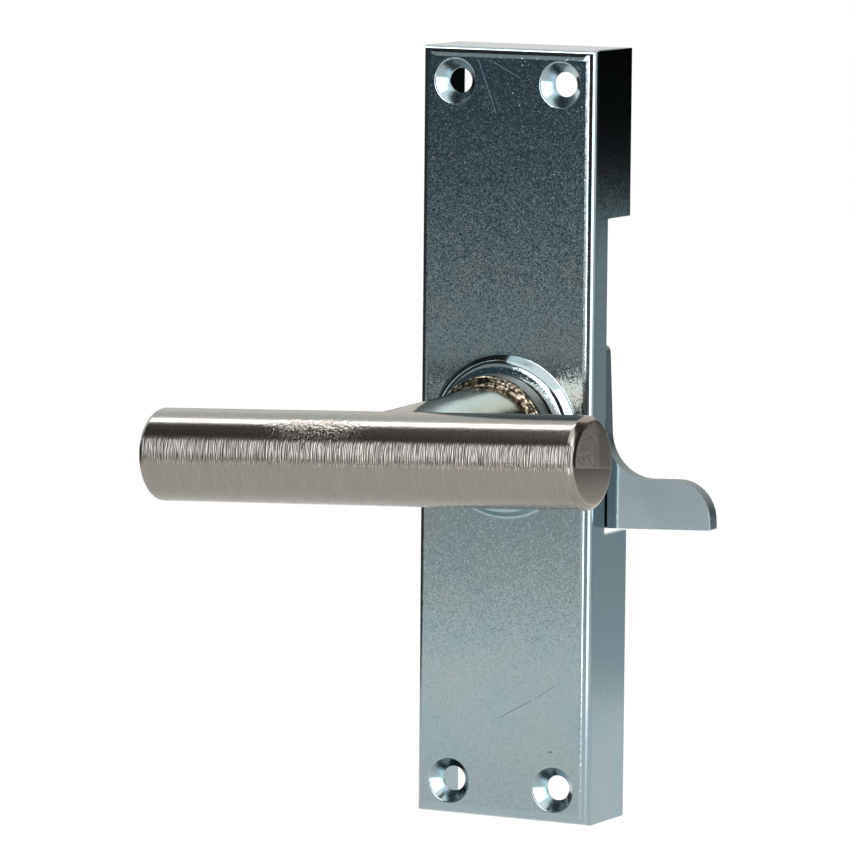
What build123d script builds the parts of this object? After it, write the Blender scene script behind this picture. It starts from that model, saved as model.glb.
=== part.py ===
from build123d import *
import os
from math import cos, hypot, radians, sin, sqrt

# Casement fastener: a folded sheet cover, a bar handle and a tongue that turns with it.
# X runs across the cover, +Y points back to the window, +Z is up.
# The origin is on the spindle's axis, in the plane of the cover's rear rim.

# Cover plate
PLATE_HEIGHT = 152.0
PLATE_WIDTH = 38.0
PLATE_DEPTH = 16.2
SHEET = 1.2
BEND_INSIDE_RADIUS = 0.8
SEAM_WIDTH = 0.3
SEAM_RELIEF_RADIUS = 0.6

# Pressed boss round the spindle, measured out from the handle's hub
BOSS_LEDGE = 1.1
BOSS_SLOPE = 2.4
BOSS_HEIGHT = 2.5
BOSS_TOP_ROUND = 2.0

# Pressed countersinks of the screw holes, measured in from the cover's edges
HOLE_INSET_X = 7.5
HOLE_INSET_Z = 6.8
HOLE_RADIUS = 2.45
SINK_RADIUS = 4.45
SINK_ANGLE = 78.0
SINK_DEPTH = 2.75
SINK_WALL = 0.8
SINK_LIP = 0.25

# Notch for the tongue in the right-hand flange, cut in from the rear rim
NOTCH_DEPTH = 9.8
NOTCH_CORNER = 0.5

# Handle
REST_TURN = 2.5
BAR_RADIUS = 9.0
BAR_STANDOFF = 45.8
BAR_LONG_ARM = 51.5
BAR_SHORT_ARM = 42.3
BAR_END_CHAMFER = 0.9
HUB_RADIUS = 12.5
HUB_HEIGHT = 4.7
HUB_CHAMFER = 0.8
HUB_SHOULDER = 0.4
NECK_COVE = 0.7
NECK_RADIUS = 9.9
THROAT_LENGTH = 15.0
THROAT_HALF_WIDTH = 10.8
THROAT_HALF_HEIGHT = 9.4
FLARE_HALF_WIDTH = 15.0
SHANK_WALL = 1.5
SOCKET_DEPTH = 24.0

# Spindle and what sits on it
SPINDLE_SQUARE = 7.0
SPINDLE_CHAMFER = 0.6
RIVET_LAP = 0.6
RIVET_HEIGHT = 1.6
RIVET_CHAMFER = 0.9
BUSH_WALL = 2.0
BUSH_FLANGE_WIDTH = 2.4
BUSH_FLANGE_THICKNESS = 1.2
SPRING_WIDTH = 3.2
SPRING_HEIGHT = 1.6
SPRING_THICKNESS = 0.6
SLEEVE_LAP = 2.0
WASHER_LAP = 2.4
WASHER_THICKNESS = 1.2
WASHER_EDGE = 0.3

# Tongue, with its finger measured out from the cover's side
TONGUE_THICKNESS = 3.0
FINGER_PROJECTION = 21.9
FINGER_WIDTH = 9.65
FINGER_TIP_RADIUS = 7.6
FINGER_ROOT_RADIUS = 9.0
FINGER_HEEL_RADIUS = 0.4
TONGUE_CORNER = 1.5
STAMPED_EDGE = 0.35

# Clearances
SEAT_GAP = 0.05
RUNNING_GAP = 0.05
FACE_GAP = 0.3
SPRING_GAP = 0.1
SOCKET_END_GAP = 0.5
SWING_GAP = 0.4
TONGUE_FACE_GAP = 0.6
TONGUE_FLUSH_GAP = 0.1
TONGUE_RAISED_GAP = 0.5
NOTCH_HEEL_GAP = 0.5
NOTCH_TIP_GAP = 2.2

# Depths along Y, from the handle back to the rear rim
face_y = -PLATE_DEPTH
sheet_rear_y = face_y + SHEET
boss_top_y = face_y - BOSS_HEIGHT
hub_rear_y = boss_top_y - FACE_GAP
hub_front_y = hub_rear_y - HUB_HEIGHT
bar_y = face_y - BAR_STANDOFF
throat_y = bar_y + BAR_RADIUS
neck_end_y = throat_y + THROAT_LENGTH
bush_flange_front_y = boss_top_y + SHEET
bush_flange_rear_y = bush_flange_front_y + BUSH_FLANGE_THICKNESS
spring_rear_y = bush_flange_rear_y + SPRING_HEIGHT
sleeve_front_y = spring_rear_y + SPRING_GAP
spindle_front_y = sleeve_front_y - SOCKET_DEPTH + SOCKET_END_GAP
notch_front_y = -NOTCH_DEPTH
tongue_front_y = notch_front_y + TONGUE_FACE_GAP
tongue_rear_y = tongue_front_y + TONGUE_THICKNESS
washer_rear_y = tongue_rear_y + WASHER_THICKNESS

# Radii of the turned pieces, built up from the square of the spindle
square_hole = SPINDLE_SQUARE + 2 * SEAT_GAP
square_corner = square_hole / sqrt(2)
shank_radius = square_corner + SHANK_WALL
bush_bore_radius = shank_radius + RUNNING_GAP
bush_radius = bush_bore_radius + BUSH_WALL
bush_flange_radius = bush_radius + BUSH_FLANGE_WIDTH
boss_hole_radius = bush_radius + SEAT_GAP
spring_bore_radius = shank_radius + FACE_GAP
spring_radius = spring_bore_radius + SPRING_WIDTH
sleeve_radius = shank_radius + SLEEVE_LAP
rivet_radius = square_corner + RIVET_LAP
washer_radius = rivet_radius + WASHER_LAP

# Outlines that follow from their neighbours
bend_radius = BEND_INSIDE_RADIUS + SHEET
boss_top_radius = HUB_RADIUS + BOSS_LEDGE
boss_base_radius = boss_top_radius + BOSS_SLOPE
neck_root_radius = HUB_RADIUS - HUB_CHAMFER - HUB_SHOULDER - NECK_COVE
side_x = PLATE_WIDTH / 2
swing_radius = side_x - SHEET - SWING_GAP
body_right = side_x - TONGUE_FLUSH_GAP
tongue_bottom = TONGUE_RAISED_GAP - side_x
finger_top = tongue_bottom + FINGER_WIDTH
finger_tip = side_x + FINGER_PROJECTION
notch_bottom = tongue_bottom - NOTCH_HEEL_GAP
notch_top = finger_tip + NOTCH_TIP_GAP
hole_spacing_x = PLATE_WIDTH - 2 * HOLE_INSET_X
hole_spacing_z = PLATE_HEIGHT - 2 * HOLE_INSET_Z
sink_lip_angle = (SINK_ANGLE + 180) / 2

# The handle and tongue stand a little past level: right-hand end up, seen from the front.
forward = (0, -1, 0)
bar_direction = (cos(radians(REST_TURN)), 0, sin(radians(REST_TURN)))
behind = (Align.CENTER, Align.CENTER, Align.MAX)


def facing(y):
    """Plane across the spindle at depth y, seen from the front."""
    return Plane(origin=(0, y, 0), x_dir=(1, 0, 0), z_dir=forward)


def turned(y):
    """The same plane, turned with the handle."""
    return Plane(origin=(0, y, 0), x_dir=bar_direction, z_dir=forward)


def boss_section(inset, setback, corners):
    """Half section of the boss and the sheet round it, moved in towards the axis and back."""
    rim = boss_base_radius + SHEET - inset
    with BuildSketch(Plane.XY) as section:
        with BuildLine():
            FilletPolyline(
                (rim, face_y + setback),
                (boss_base_radius - inset, face_y + setback),
                (boss_top_radius - inset, boss_top_y + setback),
                (0, boss_top_y + setback),
                radius=corners,
            )
            Polyline(
                (0, boss_top_y + setback),
                (0, sheet_rear_y + setback),
                (rim, sheet_rear_y + setback),
                (rim, face_y + setback),
            )
        make_face()
    return section.sketch


def export(builder, name):
    """Label a finished piece and write its STEP file."""
    builder.part.label = name
    export_step(builder.part, f"parts/{name}.step")


os.makedirs("parts", exist_ok=True)

# Hollow of the cover's tray, with the inside of the bends
with BuildPart() as tray_hollow:
    with Locations(facing(sheet_rear_y)):
        Box(PLATE_WIDTH - 2 * SHEET, PLATE_HEIGHT - 2 * SHEET, PLATE_DEPTH, align=behind)
    fillet(tray_hollow.faces().sort_by(Axis.Y)[0].edges(), radius=BEND_INSIDE_RADIUS)

# Corner seams: the side flanges run the full height, the end flanges butt against them
seam_x = side_x - SHEET
seam_z = PLATE_HEIGHT / 2
seam_front_y = face_y + bend_radius
seam_places = [(side * seam_x, 0, end * seam_z) for side in (-1, 1) for end in (-1, 1)]
relief_places = [(x, seam_front_y, z) for x, y, z in seam_places]

# The inside of the boss's slope is moved in so far that the sheet keeps its thickness
slope_inset = SHEET * (hypot(BOSS_SLOPE, BOSS_HEIGHT) - BOSS_SLOPE) / BOSS_HEIGHT

# Cover plate: a folded tray of sheet, open at the back, with the boss and the screw holes pressed in
with BuildPart() as cover_plate:
    with Locations(facing(face_y)):
        Box(PLATE_WIDTH, PLATE_HEIGHT, PLATE_DEPTH, align=behind)
    fillet(cover_plate.faces().sort_by(Axis.Y)[0].edges(), radius=bend_radius)
    add(tray_hollow.part, mode=Mode.SUBTRACT)

    with Locations(*seam_places):
        Box(SEAM_WIDTH, -2 * seam_front_y, 2 * SHEET, mode=Mode.SUBTRACT)
    with Locations(*relief_places):
        Cylinder(SEAM_RELIEF_RADIUS, 2 * SHEET, mode=Mode.SUBTRACT)

    revolve(boss_section(0, 0, [0, BOSS_TOP_ROUND]), axis=Axis.Y)
    revolve(boss_section(slope_inset, SHEET, 0), axis=Axis.Y, mode=Mode.SUBTRACT)
    with Locations(facing(boss_top_y)):
        Hole(boss_hole_radius, depth=2 * SHEET)

    with Locations(facing(sheet_rear_y)):
        with GridLocations(hole_spacing_x, hole_spacing_z, 2, 2):
            Cone(HOLE_RADIUS + SINK_WALL, SINK_RADIUS + SINK_WALL, SINK_DEPTH - SHEET, align=behind)
    with Locations(facing(face_y)):
        with GridLocations(hole_spacing_x, hole_spacing_z, 2, 2):
            CounterSinkHole(HOLE_RADIUS, SINK_RADIUS, counter_sink_angle=SINK_ANGLE)
            CounterSinkHole(HOLE_RADIUS, SINK_RADIUS + SINK_LIP, counter_sink_angle=sink_lip_angle)

    with BuildSketch(Plane.YZ.offset(side_x)):
        with BuildLine():
            FilletPolyline(
                (SHEET, notch_bottom),
                (notch_front_y, notch_bottom),
                (notch_front_y, notch_top),
                (SHEET, notch_top),
                radius=NOTCH_CORNER,
            )
            Line((SHEET, notch_top), (SHEET, notch_bottom))
        make_face()
    extrude(amount=-2 * SHEET, mode=Mode.SUBTRACT)
export(cover_plate, "cover_plate")

# Bearing bush: seated in the boss from behind, its flange against the sheet
with BuildPart() as bearing_bush:
    with BuildSketch(Plane.XY):
        with BuildLine():
            Polyline(
                (bush_bore_radius, boss_top_y),
                (bush_radius, boss_top_y),
                (bush_radius, bush_flange_front_y),
                (bush_flange_radius, bush_flange_front_y),
                (bush_flange_radius, bush_flange_rear_y),
                (bush_bore_radius, bush_flange_rear_y),
                close=True,
            )
        make_face()
    revolve(axis=Axis.Y)
export(bearing_bush, "bearing_bush")

# Disc spring: a shallow cone between the bush and the spacer sleeve
with BuildPart() as disc_spring:
    with BuildSketch(Plane.XY):
        with BuildLine():
            Polyline(
                (spring_bore_radius, spring_rear_y - SPRING_THICKNESS),
                (spring_radius, bush_flange_rear_y),
                (spring_radius, bush_flange_rear_y + SPRING_THICKNESS),
                (spring_bore_radius, spring_rear_y),
                close=True,
            )
        make_face()
    revolve(axis=Axis.Y)
export(disc_spring, "disc_spring")

# Lever handle: bar, neck, hub and shank in one casting, with a blind square socket
bar_plane = Plane(origin=(0, bar_y, 0), x_dir=(0, 1, 0), z_dir=bar_direction)
with BuildPart() as lever_handle:
    with BuildSketch(Plane.XY):
        with BuildLine():
            Polyline(
                (HUB_RADIUS, hub_rear_y),
                (HUB_RADIUS, hub_front_y + HUB_CHAMFER),
                (HUB_RADIUS - HUB_CHAMFER, hub_front_y),
                (neck_root_radius + NECK_COVE, hub_front_y),
                (neck_root_radius, hub_front_y - NECK_COVE),
                (NECK_RADIUS, neck_end_y),
                (0, neck_end_y),
                (0, sleeve_front_y),
                (shank_radius, sleeve_front_y),
                (shank_radius, hub_rear_y),
                (HUB_RADIUS, hub_rear_y),
            )
        make_face()
    revolve(axis=Axis.Y)

    # The neck flares out along the bar and closes inside it
    with BuildSketch(turned(neck_end_y)):
        Ellipse(NECK_RADIUS, NECK_RADIUS)
    with BuildSketch(turned(throat_y)):
        Ellipse(THROAT_HALF_WIDTH, THROAT_HALF_HEIGHT)
    with BuildSketch(turned(bar_y)):
        Ellipse(FLARE_HALF_WIDTH, BAR_RADIUS - SEAT_GAP)
    loft()

    with BuildSketch(bar_plane.offset(-BAR_LONG_ARM)):
        Circle(BAR_RADIUS)
    extrude(amount=BAR_LONG_ARM + BAR_SHORT_ARM)
    flat_faces = lever_handle.faces().filter_by(GeomType.PLANE).sort_by(Axis.X)
    chamfer(flat_faces[0].edges() + flat_faces[-1].edges(), length=BAR_END_CHAMFER)

    with BuildSketch(turned(sleeve_front_y)):
        Rectangle(square_hole, square_hole)
    extrude(amount=SOCKET_DEPTH, mode=Mode.SUBTRACT)
export(lever_handle, "lever_handle")

# Square spindle: pressed into the handle's socket, its rear end riveted over the washer
with BuildPart() as square_spindle:
    with BuildSketch(turned(washer_rear_y)):
        Rectangle(SPINDLE_SQUARE, SPINDLE_SQUARE)
    extrude(amount=washer_rear_y - spindle_front_y)
    chamfer(square_spindle.faces().sort_by(Axis.Y)[0].edges(), length=SPINDLE_CHAMFER)
    with BuildSketch(turned(washer_rear_y)):
        Circle(rivet_radius)
    extrude(amount=-RIVET_HEIGHT)
    chamfer(square_spindle.faces().sort_by(Axis.Y)[-1].edges(), length=RIVET_CHAMFER)
export(square_spindle, "square_spindle")

# Spacer sleeve: holds the tongue back at the depth of the notch
with BuildPart() as spacer_sleeve:
    with BuildSketch(turned(sleeve_front_y)):
        Circle(sleeve_radius)
        Rectangle(square_hole, square_hole, mode=Mode.SUBTRACT)
    extrude(amount=sleeve_front_y - tongue_front_y)
export(spacer_sleeve, "spacer_sleeve")

# Latch tongue: a stamped plate, rounded where it swings past the left-hand flange
with BuildPart() as latch_tongue:
    with BuildSketch(turned(tongue_front_y)):
        with BuildLine():
            FilletPolyline(
                (0, tongue_bottom),
                (finger_tip, tongue_bottom),
                (finger_tip, finger_top),
                (body_right, finger_top),
                (body_right, swing_radius),
                (0, swing_radius),
                radius=[FINGER_HEEL_RADIUS, FINGER_TIP_RADIUS, FINGER_ROOT_RADIUS, TONGUE_CORNER],
            )
            CenterArc((0, 0), swing_radius, 90, 90)
            Line((-swing_radius, 0), (-swing_radius, tongue_bottom + swing_radius))
            CenterArc((0, tongue_bottom + swing_radius), swing_radius, 180, 90)
        make_face()
        Rectangle(square_hole, square_hole, mode=Mode.SUBTRACT)
    extrude(amount=-TONGUE_THICKNESS)
    chamfer(latch_tongue.faces().sort_by(Axis.Y)[0].outer_wire().edges(), length=STAMPED_EDGE)
export(latch_tongue, "latch_tongue")

# Rivet washer: between the tongue and the riveted end of the spindle
with BuildPart() as rivet_washer:
    with BuildSketch(turned(tongue_rear_y)):
        Circle(washer_radius)
        Rectangle(square_hole, square_hole, mode=Mode.SUBTRACT)
    extrude(amount=-WASHER_THICKNESS)
    chamfer(rivet_washer.faces().sort_by(Axis.Y)[-1].outer_wire().edges(), length=WASHER_EDGE)
export(rivet_washer, "rivet_washer")
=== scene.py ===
import math

import bmesh
import bpy
from bpy.props import FloatProperty, FloatVectorProperty, PointerProperty
from mathutils import Matrix, Vector


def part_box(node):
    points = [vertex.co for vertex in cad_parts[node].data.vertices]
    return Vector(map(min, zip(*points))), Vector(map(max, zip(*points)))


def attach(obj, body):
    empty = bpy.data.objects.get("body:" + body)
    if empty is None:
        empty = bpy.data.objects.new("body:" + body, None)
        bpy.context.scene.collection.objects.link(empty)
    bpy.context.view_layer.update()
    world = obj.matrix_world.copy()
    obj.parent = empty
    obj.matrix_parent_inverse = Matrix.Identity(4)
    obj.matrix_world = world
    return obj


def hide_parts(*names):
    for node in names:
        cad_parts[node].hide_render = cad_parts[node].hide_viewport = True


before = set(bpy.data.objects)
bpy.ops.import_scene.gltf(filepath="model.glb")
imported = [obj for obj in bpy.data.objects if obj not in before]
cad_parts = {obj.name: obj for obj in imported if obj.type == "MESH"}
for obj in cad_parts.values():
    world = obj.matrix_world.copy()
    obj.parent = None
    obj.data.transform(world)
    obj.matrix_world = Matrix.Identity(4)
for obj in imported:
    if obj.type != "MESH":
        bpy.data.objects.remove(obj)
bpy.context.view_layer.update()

bl_info = {
    "name": "Casement fastener",
    "version": (1, 0, 0),
    "blender": (4, 5, 0),
    "location": "View3D > Sidebar > Fastener",
    "description": "Builds a zinc-plated casement fastener with a brushed bar handle",
    "category": "Object",
}

# The frame is in metres; sizes below are written in millimetres
MM = 0.001
COVER_LOW, COVER_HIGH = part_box("cover_plate")
HANDLE_LOW, HANDLE_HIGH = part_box("lever_handle")
TONGUE_LOW, TONGUE_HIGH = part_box("latch_tongue")

# Fineness of the round shapes
TURNED_SEGMENTS = 128
BAR_SEGMENTS = 160
HOLE_SEGMENTS = 64
BEND_STEPS = 8
ROUND_STEPS = 6
OUTLINE_STEPS = 16
FLARE_STEPS = 24
SMOOTH_ANGLE = math.radians(32)
SHARP_ANGLE = math.radians(60)

# How close points are to be one point, and to lie in one plane
WELD = 0.001 * MM
IN_PLANE = 0.01 * MM

# Roughness of the zinc plate: bright, pressed in the countersinks, scratched, and on sheared edges
BRIGHT = 0.1
PRESSED = 0.17
SCORED = 0.3
SHEARED = 0.4


def linear(hex_colour):
    """Linear red, green and blue of an sRGB hex colour."""
    channels = [int(hex_colour[i:i + 2], 16) / 255 for i in (1, 3, 5)]
    return tuple(c / 12.92 if c <= 0.04045 else ((c + 0.055) / 1.055) ** 2.4 for c in channels)


def length(name, description, default):
    """A size that a user may change, in metres."""
    return FloatProperty(name=name, description=description, default=default, precision=5, unit="LENGTH")


def turn(name, description, default):
    """An angle that a user may change, given in degrees."""
    return FloatProperty(name=name, description=description, default=math.radians(default), unit="ROTATION")


def colour(name, description, default):
    """A colour that a user may change, given as sRGB hex."""
    return FloatVectorProperty(
        name=name, description=description, default=linear(default), subtype="COLOR", size=3
    )


def place(name, description, default):
    """A point that a user may change, in millimetres."""
    in_metres = [value * MM for value in default]
    return FloatVectorProperty(
        name=name, description=description, default=in_metres, subtype="TRANSLATION", unit="LENGTH"
    )


class CoverSizes(bpy.types.PropertyGroup):
    """Sizes of the folded cover plate."""

    width: length("Width", "Across the cover", COVER_HIGH.x - COVER_LOW.x)
    height: length("Height", "Along the cover", COVER_HIGH.z - COVER_LOW.z)
    depth: length("Depth", "From the face to the rear rim", 16.2 * MM)
    sheet: length("Sheet", "Thickness of the sheet", 1.2 * MM)
    bend: length("Bend", "Outer radius of the folds", 2.0 * MM)
    seam: length("Seam", "Width of the open corner seams", 0.3 * MM)
    cut_edge: length("Cut edge", "Softened edge of the cut sheet", 0.12 * MM)
    boss_base: length("Boss base", "Radius where the boss leaves the face", 16.0 * MM)
    boss_top: length("Boss top", "Radius of the top of the boss", 14.6 * MM)
    boss_y: length("Boss depth", "Depth of the top of the boss", COVER_LOW.y)
    boss_base_round: length("Boss base round", "Rounding where the boss leaves the face", 0.5 * MM)
    boss_top_round: length("Boss top round", "Radius of the boss's soft shoulder", 2.0 * MM)
    boss_crown: length("Boss crown", "How far the top of the boss is domed", 0.6 * MM)
    boss_hole: length("Boss hole", "Radius of the hole for the bush", 8.62 * MM)
    hole_across: length("Holes across", "Screw hole spacing across the cover", 23.0 * MM)
    hole_along: length("Holes along", "Screw hole spacing along the cover", 138.4 * MM)
    hole_radius: length("Hole", "Radius of the screw holes", 2.45 * MM)
    sink_radius: length("Countersink", "Radius of the countersinks at the face", 4.45 * MM)
    sink_angle: turn("Countersink angle", "Full angle of the countersinks", 78)
    sink_depth: length("Countersink depth", "How far the pressed countersinks reach in", 2.75 * MM)
    sink_lip: length("Countersink lip", "Radius of the countersinks' soft lip", 0.45 * MM)
    notch_depth: length("Notch depth", "How far the tongue's notch is cut in from the rim", 9.8 * MM)
    notch_low: length("Notch bottom", "Height of the notch's lower edge", -19.0 * MM)
    notch_high: length("Notch top", "Height of the notch's upper edge", 43.1 * MM)
    notch_corner: length("Notch corner", "Radius in the notch's corners", 0.5 * MM)


class HandleSizes(bpy.types.PropertyGroup):
    """Sizes of the one-piece lever handle."""

    rest_turn: turn("Rest turn", "How far the bar stands past level", 2.5)
    bar_radius: length("Bar radius", "Radius of the bar", 9.0 * MM)
    bar_y: length("Bar depth", "Depth of the bar's axis", HANDLE_LOW.y + 9.0 * MM)
    long_arm: length("Long arm", "Bar length on the left of the spindle", 51.5 * MM)
    short_arm: length("Short arm", "Bar length on the right of the spindle", 42.3 * MM)
    end_chamfer: length("End chamfer", "Chamfer round the bar's ends", 0.9 * MM)
    end_round: length("End round", "Radius of that chamfer's soft edges", 1.2 * MM)
    end_dome: length("End dome", "How far the bar's end faces bulge", 0.12 * MM)
    hub_radius: length("Hub radius", "Radius of the hub", 12.5 * MM)
    hub_rear: length("Hub rear", "Depth of the hub's rear face", -19.0 * MM)
    hub_front: length("Hub front", "Depth of the hub's front face", -23.7 * MM)
    hub_rear_round: length("Hub rear round", "Radius of the hub's rear edge", 0.15 * MM)
    hub_round: length("Hub round", "Radius of the hub's front edge", 1.1 * MM)
    cove: length("Cove", "Radius of the cove where the neck leaves the hub", 0.7 * MM)
    neck_root: length("Neck root", "Radius of the neck at the hub", 10.6 * MM)
    neck_radius: length("Neck", "Radius of the neck where it starts to flare", 9.9 * MM)
    neck_end: length("Neck end", "Depth where the neck starts to flare", -38.0 * MM)
    throat_y: length("Throat depth", "Depth of the throat behind the bar", -53.0 * MM)
    throat_half_width: length("Throat width", "Half width of the throat along the bar", 10.8 * MM)
    throat_half_height: length("Throat height", "Half height of the throat", 9.4 * MM)
    flare_half_width: length("Flare width", "Half width of the flare inside the bar", 15.0 * MM)
    flare_half_height: length("Flare height", "Half height of the flare inside the bar", 8.95 * MM)
    shank_radius: length("Shank", "Radius of the shank that runs in the bush", 6.52 * MM)
    shank_rear: length("Shank rear", "Depth of the shank's rear face", HANDLE_HIGH.y)
    socket: length("Socket", "Width of the square socket", 7.1 * MM)
    socket_depth: length("Socket depth", "Depth of the square socket", 24.0 * MM)


class TongueSizes(bpy.types.PropertyGroup):
    """Sizes of the stamped latch tongue, measured level."""

    front: length("Front", "Depth of the front face", TONGUE_LOW.y)
    rear: length("Rear", "Depth of the rear face", TONGUE_HIGH.y)
    bottom: length("Bottom", "Height of the straight lower edge", -18.5 * MM)
    swing: length("Swing radius", "Radius of the rounded back", 17.4 * MM)
    body_right: length("Body", "Right-hand edge of the body", 18.9 * MM)
    finger_tip: length("Finger tip", "Reach of the finger from the spindle", 40.9 * MM)
    finger_top: length("Finger top", "Height of the finger's upper edge", -8.85 * MM)
    heel_radius: length("Heel radius", "Radius of the finger's lower corner", 0.4 * MM)
    tip_radius: length("Tip radius", "Radius of the finger's upper corner", 7.6 * MM)
    root_radius: length("Root radius", "Radius where the finger leaves the body", 9.0 * MM)
    corner_radius: length("Corner radius", "Radius of the body's upper corner", 1.5 * MM)
    hole: length("Square hole", "Width of the square hole", 7.1 * MM)
    stamped_edge: length("Stamped edge", "Rolled front edge of the stamping", 0.35 * MM)


class Finishes(bpy.types.PropertyGroup):
    """Colours of the finishes."""

    zinc: colour("Zinc", "Blue-passivated zinc plate", "#94a4a9")
    zinc_warm: colour("Warm zinc", "Thin places of the passivation", "#9da3a0")
    zinc_blue: colour("Blue zinc", "Iridescent clouds in the passivation", "#8aa2ac")
    zinc_edge: colour("Edge zinc", "Thin plating on sheared edges", "#6e7f84")
    zinc_pit: colour("Pitted zinc", "Dark pits and scores in the plating", "#3c4448")
    zinc_tongue: colour("Tongue zinc", "Zinc plate of the tongue", "#b9ccd7")
    nickel: colour("Nickel", "Satin nickel of the bar", "#8a8680")
    nickel_bright: colour("Bright nickel", "Bright strokes of the brushing", "#b3aea6")
    nickel_polished: colour("Polished nickel", "Polished neck of the handle", "#998f7d")
    # Dull nickel is the casting skin near the hub, and also the painted shade line inside the rim of the
    # bar's ends
    nickel_skin_and_shade: colour("Dull nickel", "Casting skin left in the hollows", "#2b2620")
    nickel_hub: colour("Hub nickel", "Satin side of the hub", "#8b867d")
    nickel_end: colour("End nickel", "Casting skin of the bar's ends", "#b8aba0")
    # Dark end nickel makes the end face darker towards the back over the parting line, and darker towards
    # the parting line under it
    nickel_end_dark: colour("Dark end nickel", "Rubbed places of the bar's ends", "#7b7168")
    spindle_steel: colour("Spindle steel", "Drawn bright steel", "#8b8c8d")
    spring_steel: colour("Spring steel", "Oiled spring steel", "#4b4a4a")
    nylon: colour("Nylon", "Natural moulded nylon", "#dcd8c9")
    nylon_cloud: colour("Nylon clouds", "Soft clouds in the nylon", "#c2bda9")
    floor: colour("Floor", "Plain pale floor", "#f4f4f3")


class Shot(bpy.types.PropertyGroup):
    """Camera and light."""

    yaw: turn("Camera yaw", "Camera angle round the object", 27.745)
    pitch: turn("Camera pitch", "Camera angle above level", 6.4231)
    roll: turn("Camera roll", "Camera roll", 0.5237)
    distance: length("Camera distance", "From the target to the camera", 1326.0 * MM)
    target: place("Camera target", "Point in the middle of the picture", (-21.093, -8.107, -0.489))
    lens: FloatProperty(name="Lens", description="Focal length", default=280.9, unit="CAMERA")
    floor_drop: length("Floor drop", "How far the floor lies under the object", 130.0 * MM)
    light: FloatProperty(name="Light", description="Strength of the soft light", default=4.0)
    light_width: turn("Light width", "Angle that the soft light fills", 36)
    light_aim: FloatVectorProperty(
        name="Light aim",
        description="Way the soft light shines",
        default=(0.42, -0.25, -0.87),
        subtype="DIRECTION",
    )
    room: colour("Room", "Faint warm light from all round", "#f0e4d6")
    room_light: FloatProperty(name="Room light", description="Strength of that light", default=0.1)


def settings():
    """The property groups of the scene."""
    scene = bpy.context.scene
    return scene.fastener_cover, scene.fastener_handle, scene.fastener_tongue, scene.fastener_finish


# Shapes


def rounded(corners, steps, closed=False):
    """Points of a flat outline given as (across, along, corner radius), with the corners as arcs."""
    points = []
    count = len(corners)
    for i, (across, along, radius) in enumerate(corners):
        corner = Vector((across, along))
        at_end = not closed and i in (0, count - 1)
        if at_end or radius <= 0:
            points.append(corner)
            continue
        before = (Vector(corners[i - 1][:2]) - corner).normalized()
        after = (Vector(corners[(i + 1) % count][:2]) - corner).normalized()
        half = before.angle(after) / 2
        reach = radius / math.tan(half)
        centre = corner + (before + after).normalized() * (radius / math.sin(half))
        start = corner + before * reach - centre
        end = corner + after * reach - centre
        sweep = math.pi - 2 * half
        for step in range(steps + 1):
            t = step / steps
            points.append(
                centre + (start * math.sin((1 - t) * sweep) + end * math.sin(t * sweep)) / math.sin(sweep)
            )
    return points


def ellipse(half_width, half_height, y, segments):
    """Points of an ellipse round the spindle's axis at depth y."""
    angles = [2 * math.pi * i / segments for i in range(segments)]
    return [(half_width * math.cos(a), y, half_height * math.sin(a)) for a in angles]


def circle(radius, segments):
    """Points of a flat circle."""
    angles = [2 * math.pi * i / segments for i in range(segments)]
    return [(radius * math.sin(a), radius * math.cos(a)) for a in angles]


def square(width):
    """Corners of a flat square."""
    half = width / 2
    return [(-half, -half), (half, -half), (half, half), (-half, half)]


def in_plane(edge, y):
    """Whether an edge lies at depth y."""
    return all(abs(vert.co.y - y) < IN_PLANE for vert in edge.verts)


def skin_rings(bm, rings):
    """Join closed rings of equal length with quads and return their vertices."""
    made = [[bm.verts.new(point) for point in ring] for ring in rings]
    for near, far in zip(made, made[1:]):
        for i in range(len(near)):
            j = (i + 1) % len(near)
            bm.faces.new((near[i], near[j], far[j], far[i]))
    return made


def new_piece(name, bm):
    """Turn finished geometry into an object at the origin."""
    mesh = bpy.data.meshes.new(name)
    bm.to_mesh(mesh)
    bm.free()
    piece = bpy.data.objects.new(name, mesh)
    bpy.context.scene.collection.objects.link(piece)
    return piece


def make_plain(piece):
    """Turn a piece and its modifiers into a plain mesh."""
    graph = bpy.context.evaluated_depsgraph_get()
    graph.update()
    mesh = bpy.data.meshes.new_from_object(
        piece.evaluated_get(graph), preserve_all_data_layers=True, depsgraph=graph
    )
    piece.modifiers.clear()
    old = piece.data
    piece.data = mesh
    bpy.data.meshes.remove(old)
    mesh.name = piece.name


def smooth_shade(piece):
    """Shade smooth, with the hard edges kept and flat faces left flat."""
    bm = bmesh.new()
    bm.from_mesh(piece.data)
    for face in bm.faces:
        face.smooth = True
    for edge in bm.edges:
        edge.smooth = not edge.is_manifold or edge.calc_face_angle(0) < SMOOTH_ANGLE
    bm.to_mesh(piece.data)
    bm.free()
    weighted = piece.modifiers.new("Flat faces", "WEIGHTED_NORMAL")
    weighted.mode = "FACE_AREA"
    weighted.weight = 100
    weighted.keep_sharp = True
    make_plain(piece)


def face_outwards(bm):
    """Merge a shape's doubles and point its faces one way, outwards where it is closed."""
    bmesh.ops.remove_doubles(bm, verts=bm.verts, dist=WELD)
    bmesh.ops.recalc_face_normals(bm, faces=bm.faces)


def dress(piece, body, slot, node, *materials):
    """Give a piece its finish, attach it to its body, and hide the CAD node that it takes the place of."""
    for material in materials:
        if material.name not in piece.data.materials:
            piece.data.materials.append(material)
    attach(piece, body)
    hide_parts(node)


def tray_ring(sizes, inset, y):
    """The cover's outline at one depth, with the points beside its corners where the seams run."""
    x = sizes.width / 2 - inset
    z = sizes.height / 2 - inset
    seam = x - sizes.sheet - sizes.seam / 2
    outline = [(-x, -z), (-seam, -z), (seam, -z), (x, -z), (x, z), (seam, z), (-seam, z), (-x, z)]
    return [(across, y, up) for across, up in outline]


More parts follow.
